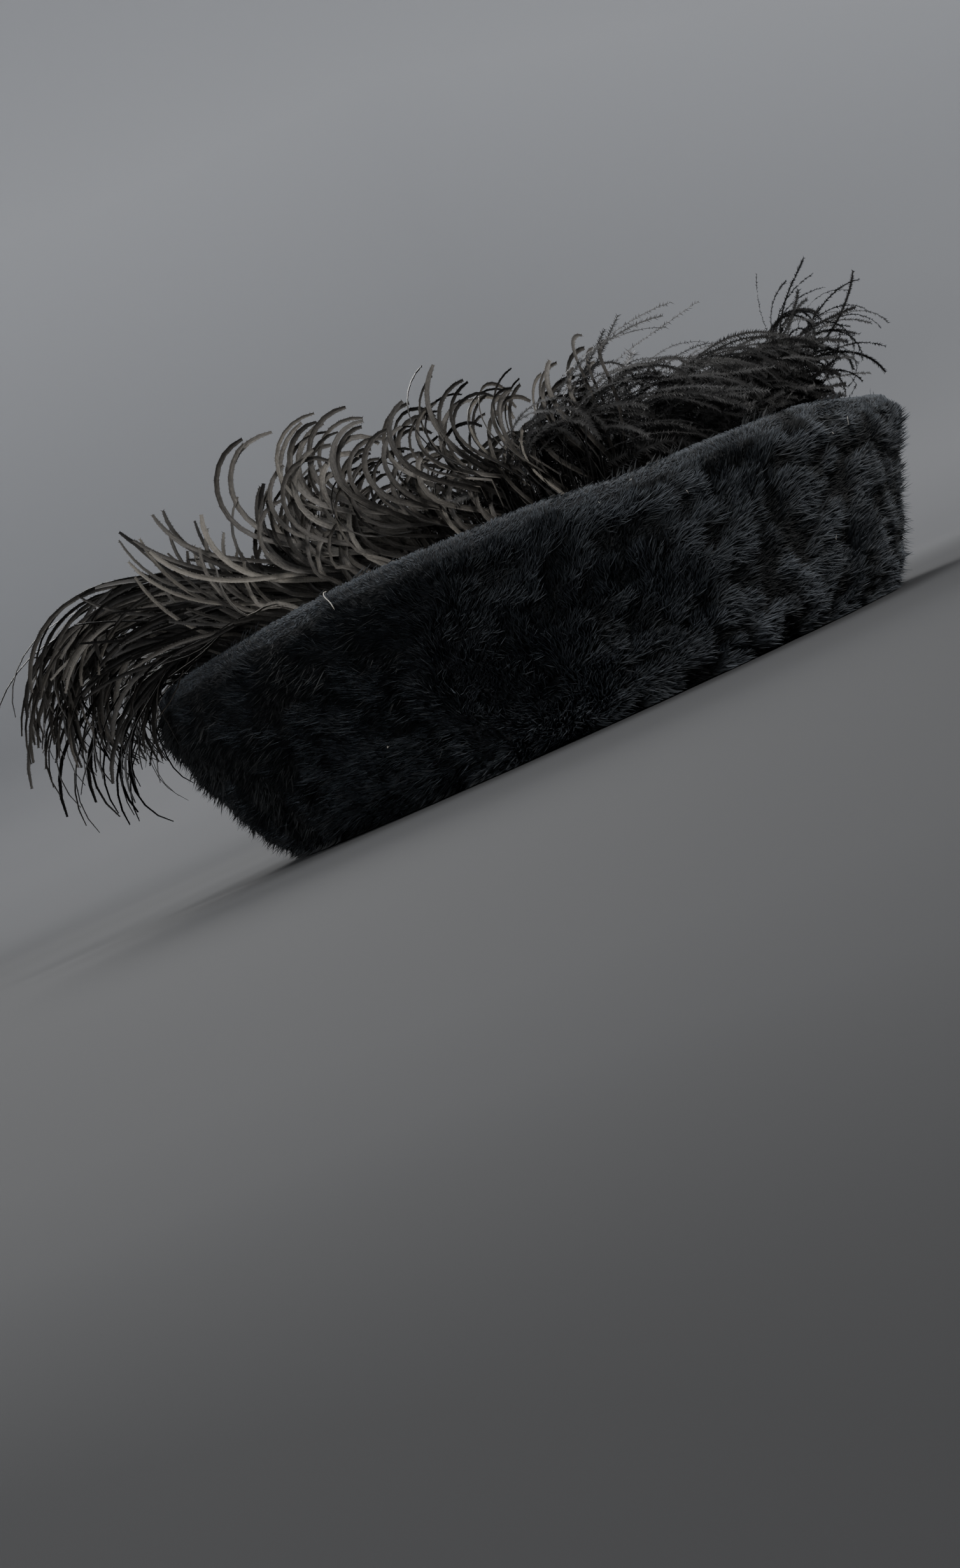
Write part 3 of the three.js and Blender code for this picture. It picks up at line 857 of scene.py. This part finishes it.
def barb_set(rows, locks, members, roots, width, tone, scatter, curl, wave, fuzz=None, spread=6 * MM,
             stretch=(0.85, 1.1), tilt=12.0, own=0.35, flat=False):
    """Parts of one group of barbs along a table, in locks of a few barbs that run together. scatter holds the
    spread of rise, rise_end, sweep and sweep_end between locks, own the share of it between a lock's barbs,
    curl the least and greatest turn that the tips have besides the table's, tilt the difference in rise from
    the lowest roots to the highest, and fuzz the pitch and length of side hairs."""
    first, last = rows[0][0], rows[-1][0]
    count = locks * members
    lock = np.repeat(np.arange(locks), members)
    rounds = (first + (last - first) * (np.arange(locks) + rng.random(locks)) / locks)[lock]
    rounds = np.clip(rounds + rng.normal(0.0, 1.6, count), first, last)
    values = table_values(rows, rounds)
    share = rng.uniform(*roots, locks)[lock] + rng.normal(0.0, 0.06, count)
    share = np.clip(share, *roots)
    steeper = (share - np.mean(roots)) / (roots[1] - roots[0])
    for key, wide in zip(("rise", "rise_end", "sweep", "sweep_end"), scatter):
        values[key] = values[key] + rng.normal(0.0, wide, locks)[lock] + rng.normal(0.0, wide * own, count)
    values["rise"] = values["rise"] + tilt * steeper
    lengths = rng.uniform(*stretch, locks)[lock] * rng.uniform(0.86, 1.06, count)
    values["length"] = values["length"] * lengths * (1 - 0.2 * steeper)
    values["curl"] = values["curl"] + rng.uniform(*curl, locks)[lock] + rng.normal(0.0, 13.0, count)
    values["phase"] = rng.uniform(0, 2 * math.pi, locks)[lock] + rng.normal(0.0, 0.3, count)
    lines = clear_of_hat(grow_barbs(values, share, wave, spread))
    frames = ribbon_frames(lines, values["turn"] + rng.normal(0.0, 24.0, count))
    widths = rng.uniform(*width, count) * MM
    tones = np.clip(rng.normal(*tone, locks)[lock] + rng.normal(0.0, tone[1] * 0.7, count), 0.03, 0.97)
    parts = [barb_ribbons(lines, frames, widths, tones, flat)]
    if fuzz:
        parts.append(barbules(lines, frames, widths, tones, *fuzz))
    return parts


def stray_set(rows, fuzz=None):
    """Single barbs from a table."""
    table = np.array(rows, dtype=float)
    values = {name: table[:, k] for k, name in enumerate(COLUMNS)}
    share, width, tones = (table[:, len(COLUMNS) + k] for k in range(3))
    values["phase"] = np.arange(len(table)) * 2.1
    lines = clear_of_hat(grow_barbs(values, share, 5.0, 0.0))
    frames = ribbon_frames(lines, values["turn"])
    parts = [barb_ribbons(lines, frames, width * MM, tones)]
    if fuzz:
        parts.append(barbules(lines, frames, width * MM, tones, *fuzz))
    return parts


def make_plume(name, node, parts, material):
    points, faces, layers = join_parts(parts)
    piece = make_mesh(name, points, faces, **layers)
    piece.data.materials.append(material)
    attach(piece, "root")
    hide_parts(node)


SIDE_ROWS = [
    (64, 56, 104, 1.3, 16, 52, 42, 50, 110),
    (70, 46, 92, 1.3, 36, 68, 52, 58, 120),
    (84, 34, 76, 1.4, 54, 80, 66, 62, 136),
    (94, 27, 62, 1.5, 60, 82, 70, 62, 146),
    (108, 22, 46, 1.5, 58, 70, 78, 50, 140),
    (118, 24, 32, 1.4, 52, 58, 80, 40, 80),
    (126, 26, 20, 1.4, 48, 54, 80, 34, 20),
]
TAIL_ROWS = [
    (118, 26, 28, 1.3, 50, 56, 78, 36, 30),
    (132, 32, 2, 1.8, 44, 48, 86, 20, -10),
    (146, 44, -60, 1.6, 36, 38, 100, 8, -16),
    (156, 47, -84, 1.5, 28, 28, 112, 0, -12),
    (166, 48, -86, 1.4, 16, 16, 114, 0, -14),
    (186, 47, -82, 1.3, -2, -6, 106, 0, -18),
    (211.5, 43, -70, 1.3, -16, -20, 86, 0, -20),
]
# Barbs of the tail that lie together in bright bundles
BUNDLE_ROWS = [
    (136, 40, -40, 1.6, 44, 46, 104, 20, -10),
    (148, 48, -76, 1.6, 36, 38, 116, 8, -10),
    (160, 50, -84, 1.5, 24, 24, 118, 0, -10),
]
FRONT_ROWS = [
    (-44, 46, 0, 1.0, 14, 4, 42, 0, 0),
    (-12, 46, 6, 1.0, -2, -8, 44, 0, 0),
    (14, 50, 8, 1.0, -4, -12, 46, 0, -10),
    (32, 52, 0, 1.0, -14, -34, 42, -50, -20),
]
FILL_ROWS = [
    (-48, 38, -20, 0.8, 40, 50, 42, 50, 0),
    (-20, 26, -30, 0.8, 12, 18, 28, 30, 0),
    (12, 24, -34, 0.8, -8, -22, 24, -40, 0),
    (30, 34, -40, 0.7, -24, -44, 30, -60, 0),
]
MATTED_ROWS = [
    (22, 34, -48, 0.8, -20, -42, 28, -60, 0),
    (38, 58, -54, 0.8, -34, -64, 48, -62, 0),
    (52, 76, -58, 0.85, -46, -80, 70, -64, 0),
    (66, 84, -60, 0.88, -56, -90, 80, -66, 0),
    (78, 86, -58, 0.9, -62, -94, 82, -66, 0),
    (86, 82, -46, 0.88, -64, -94, 76, -66, 0),
]
LEFT_ROWS = [
    (212, 43, -70, 1.3, -16, -20, 86, 0, -20),
    (230, 36, 0, 1.5, -36, -44, 82, -20, 10),
    (250, 26, 40, 1.5, -54, -68, 76, -46, 120),
    (280, 24, 60, 1.5, -60, -84, 66, -58, 145),
    (300, 32, 58, 1.4, -44, -60, 52, -46, 110),
    (311.5, 36, 30, 1.2, -34, -54, 46, -30, 40),
]
# Single barbs that stand out above the rest, with root share, width in mm and tone as further columns
SIDE_STRAYS = [
    (116, 58, 100, 1.0, 74, 84, 56, 70, 40, 0.7, 2.0, 0.6),
    (109, 60, 84, 1.0, 74, 84, 58, 70, 96, 0.7, 2.0, 0.62),
    (114, 36, 54, 1.0, 60, 72, 70, 60, 150, 0.6, 1.9, 0.5),
    (124, 26, 12, 1.0, 60, 66, 78, 30, 100, 0.7, 1.6, 0.5),
    (133, 24, 6, 1.0, 50, 58, 82, 30, 40, 0.8, 1.5, 0.46),
    (140, 28, -4, 1.0, 44, 50, 86, 20, 70, 0.7, 1.6, 0.42),
    (147, 36, -30, 1.0, 40, 42, 96, 10, 60, 0.7, 1.5, 0.42),
]
FRONT_STRAYS = [
    (8, 12, 46, 1.0, -6, -10, 48, -50, 20, 0.9, 0.8, 0.4),
    (24, 66, 40, 1.0, -4, -8, 46, -50, -130, 0.85, 0.6, 0.4),
    (60, 70, 30, 1.0, -50, -62, 46, -66, -150, 0.86, 0.8, 0.42),
    (64, 76, 40, 1.0, -54, -66, 48, -66, -190, 0.86, 0.7, 0.4),
    (70, 84, 50, 1.0, -50, -60, 52, -66, -150, 0.86, 0.7, 0.4),
    (-8, 16, -60, 1.2, 2, -4, 46, -50, -20, 0.95, 0.8, 0.36),
]


# Pitch and length of side hairs, and the width of their feet
EDGE = (1.0 * MM, 0.6 * MM, 0.17 * MM)
TWIG = (0.64 * MM, 1.4 * MM, 0.22 * MM)
THIN_TWIG = (0.5 * MM, 1.2 * MM, 0.2 * MM)
STRAY_TWIG = (0.6 * MM, 1.1 * MM, 0.16 * MM)
FLUFF = (0.8 * MM, 3.2 * MM, 0.28 * MM)


def down_set(rows, share, locks, width, tone, roots=(0.2, 0.8), scatter=(14, 20, 20, 24), curl=(-30, 30)):
    """Down that fills a plume near its quills: short, steep, flat barbs at the places of its table. Its dark
    tone is painted shade of the plume's inside.
    """
    short = [(r[0], 58, 30 + 0.3 * r[2], 1.0, r[4], r[5], r[6] * share, r[7], 0) for r in rows]
    return barb_set(short, locks, 3, roots, width, tone, scatter, curl, 10, FLUFF, flat=True)


def dress_plumes():
    smooth = barb_material("smooth_barbs", SMOOTH_STOPS)
    matted = barb_material("matted_barbs", MATTED_STOPS)
    back = quills(73.5, 211.5, 0.3)
    back += barb_set(SIDE_ROWS, 74, 3, (0.4, 0.95), (1.4, 2.3), (0.58, 0.14), (8, 12, 13, 18), (-40, 50), 8,
                     EDGE)
    back += barb_set(TAIL_ROWS, 46, 5, (0.4, 0.95), (1.3, 2.3), (0.3, 0.16), (7, 9, 6, 7), (-30, 20), 7, EDGE,
                     stretch=(0.84, 1.06), own=0.16)
    back += barb_set(TAIL_ROWS, 30, 2, (0.4, 0.95), (0.8, 1.3), (0.36, 0.16), (8, 11, 8, 9), (-90, 60), 10,
                     stretch=(0.74, 0.96))
    back += barb_set(BUNDLE_ROWS, 5, 12, (0.6, 0.95), (1.4, 2.1), (0.46, 0.16), (6, 5, 3, 4), (-16, 16), 4,
                     EDGE, stretch=(0.9, 1.04), own=0.3)
    # Dark down near the quills: real fluff, darkened as painted shade of the plume's inside
    back += down_set(SIDE_ROWS, 0.4, 44, (1.0, 1.6), (0.12, 0.05))
    back += down_set(TAIL_ROWS, 0.36, 50, (1.0, 1.6), (0.1, 0.05), scatter=(14, 20, 16, 20), curl=(-60, 20))
    back += stray_set(SIDE_STRAYS, EDGE)
    make_plume("barbs_back", "plume_back", back, smooth)
    front = quills(-48, 73, 0.25)
    front += barb_set(FRONT_ROWS, 60, 2, (0.55, 0.95), (0.4, 0.6), (0.2, 0.12), (20, 30, 24, 28), (-170, 60),
                      8, THIN_TWIG, stretch=(0.5, 1.2), own=0.4, flat=True)
    front += barb_set(FILL_ROWS, 30, 3, (0.2, 0.66), (0.4, 0.7), (0.2, 0.12), (10, 10, 12, 14), (-40, 40), 14,
                      TWIG, spread=9 * MM, stretch=(0.6, 1.0), tilt=-8.0, flat=True)
    front += barb_set(MATTED_ROWS, 96, 4, (0.4, 0.95), (0.4, 0.75), (0.15, 0.12), (9, 12, 8, 10), (-30, 30),
                      14, TWIG, spread=9 * MM, stretch=(0.6, 1.08), tilt=-6.0, flat=True)
    front += down_set(MATTED_ROWS, 0.5, 44, (0.8, 1.4), (0.1, 0.05))
    front += down_set(FILL_ROWS, 0.5, 24, (0.8, 1.4), (0.1, 0.05), roots=(0.2, 0.5))
    front += stray_set(FRONT_STRAYS, STRAY_TWIG)
    make_plume("barbs_front", "plume_front", front, matted)
    left = quills(212, 311.5, 0.25)
    left += barb_set(LEFT_ROWS, 76, 3, (0.4, 0.95), (1.4, 2.3), (0.42, 0.13), (10, 16, 14, 18), (-40, 70), 10,
                     EDGE, stretch=(0.8, 1.05))
    left += down_set(LEFT_ROWS, 0.4, 44, (1.0, 1.6), (0.12, 0.05))
    make_plume("barbs_left", "plume_left", left, smooth)


# Small things caught on the hat: a loop of pale thread at the head opening, a fibre at the rim, and lint

LINT_COUNT = 12


def thread_material():
    shader = Shader("thread")
    place = object_place(shader)
    twist = shader.noise(shader.stretch(place, (1.0, 1.0, 0.4)), 1800.0, 2.0)
    shader.set("Base Color", shader.ramp(twist, [(0.25, (0.16, 0.15, 0.135)), (0.75, (0.36, 0.34, 0.3))]))
    shader.set("Roughness", shader.ramp(twist, [(0.2, (0.5,) * 3), (0.8, (0.7,) * 3)]))
    shader.bump(twist, 0.05 * MM)
    return shader.material


def thread(start, steps, radius):
    """A fine cord through a start point and the steps from it, rounded at its bends."""
    knots = start + np.concatenate([np.zeros((1, 3)), np.cumsum(np.array(steps) * MM, axis=0)])
    t = np.linspace(0, len(knots) - 1, 6 * len(knots))
    line = np.stack([np.interp(t, np.arange(len(knots)), knots[:, k]) for k in range(3)], axis=1)
    for _ in range(6):
        line[1:-1] = (line[:-2] + 2 * line[1:-1] + line[2:]) / 4
    fade = np.interp(np.arange(len(line)), [0, 2, len(line) - 3, len(line) - 1], [0.4, 1, 1, 0.4])
    return tube(line, radius * fade, 0.5)


def dress_trifles():
    pale = thread_material()
    up = np.array([0.0, 0.0, 1.0])
    point, out, onward = (part[0] for part in ellipse_place(np.array([146.0])))
    steps = [-out * 1.2 - onward - up * 2.2, onward * 1.4 - up * 1.7, onward * 2.4 + up * 1.5,
             onward + out + up * 2.4]
    loop = [thread(point - out * 0.6 * MM + up * 4.6 * MM, steps, 0.22 * MM)]
    point, out, onward = (part[0] for part in ellipse_place(np.array([117.0])))
    rim = point + out * 52 * MM
    rim[2] = float(rim_height(rim)) + 0.6 * MM
    steps = [out * 2 + onward * 0.4, out * 2.6 - onward - up * 1.6, out - onward * 2 - up * 3.0,
             -onward * 0.4 - up * 3.0]
    fibre = [thread(rim, steps, 0.2 * MM)]
    middle = brim_surface.points[brim_surface.triangles].mean(axis=1)
    outside = ((brim_surface.flat * outward(middle)).sum(axis=1) > 0.4) & (middle[:, 2] > 14 * MM)
    roots, normals = brim_surface.sow(LINT_COUNT, outside)
    lint = []
    for root, normal in zip(roots, normals):
        steps = rng.normal(0.0, 0.8, (2, 3))
        lint.append(thread(root + normal * 5.5 * MM, steps, rng.uniform(0.07, 0.13) * MM))
    for name, parts in (("thread_loop", loop), ("rim_fibre", fibre), ("lint", lint)):
        points, faces, layers = join_parts(parts)
        piece = make_mesh(name, points, faces, **layers)
        piece.data.materials.append(pale)
        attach(piece, "root")


place_camera()
make_floor()
light_studio()
dress_felt()
dress_plumes()
dress_trifles()
